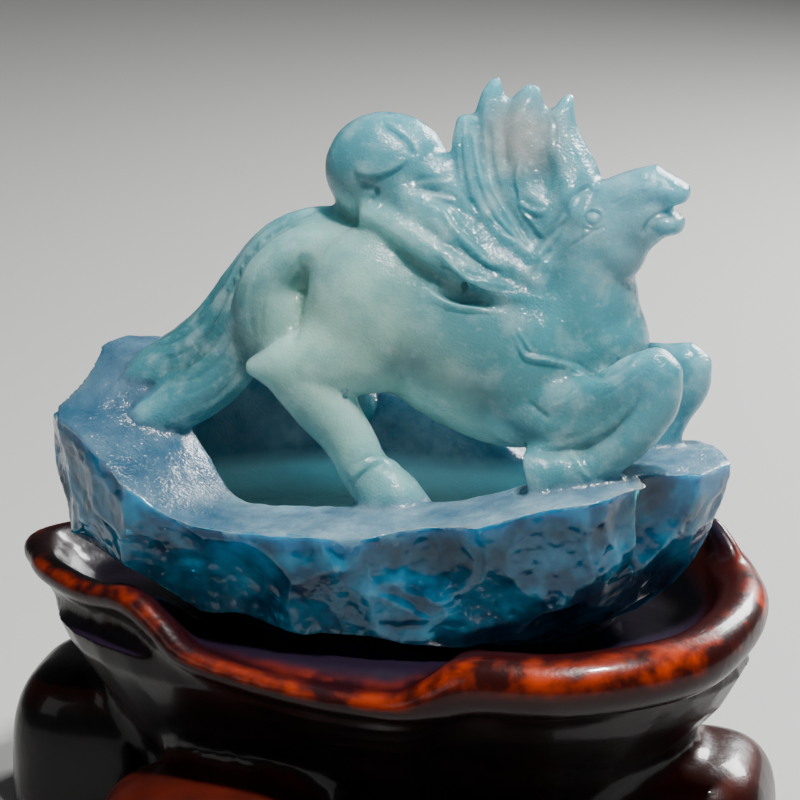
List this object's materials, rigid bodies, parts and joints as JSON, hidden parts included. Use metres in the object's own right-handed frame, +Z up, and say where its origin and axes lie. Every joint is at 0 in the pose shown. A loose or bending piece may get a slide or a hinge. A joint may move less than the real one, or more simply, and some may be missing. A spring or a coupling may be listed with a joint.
{
  "type": "carved gemstone horse on a wooden stand",
  "caption": "Leaping horse with raised head, flowing mane and curled tail, carved from a rough pale blue crystal that rests in a carved lacquered wooden stand.",
  "frame": {"origin": "centre of the bounding box, at the level of the stand's underside", "axes": "+X along the stand, the way the horse faces; +Y away from the side that the picture shows; +Z up"},
  "size_m": [0.1248, 0.0722, 0.1234],
  "materials": {
    "horse_carving": "frosted, translucent",
    "wooden_stand": "glossy dark lacquer"
  },
  "bodies": {
    "root": {"horse_carving": "horse_carving", "wooden_stand": "wooden_stand"}
  },
  "joints": []
}
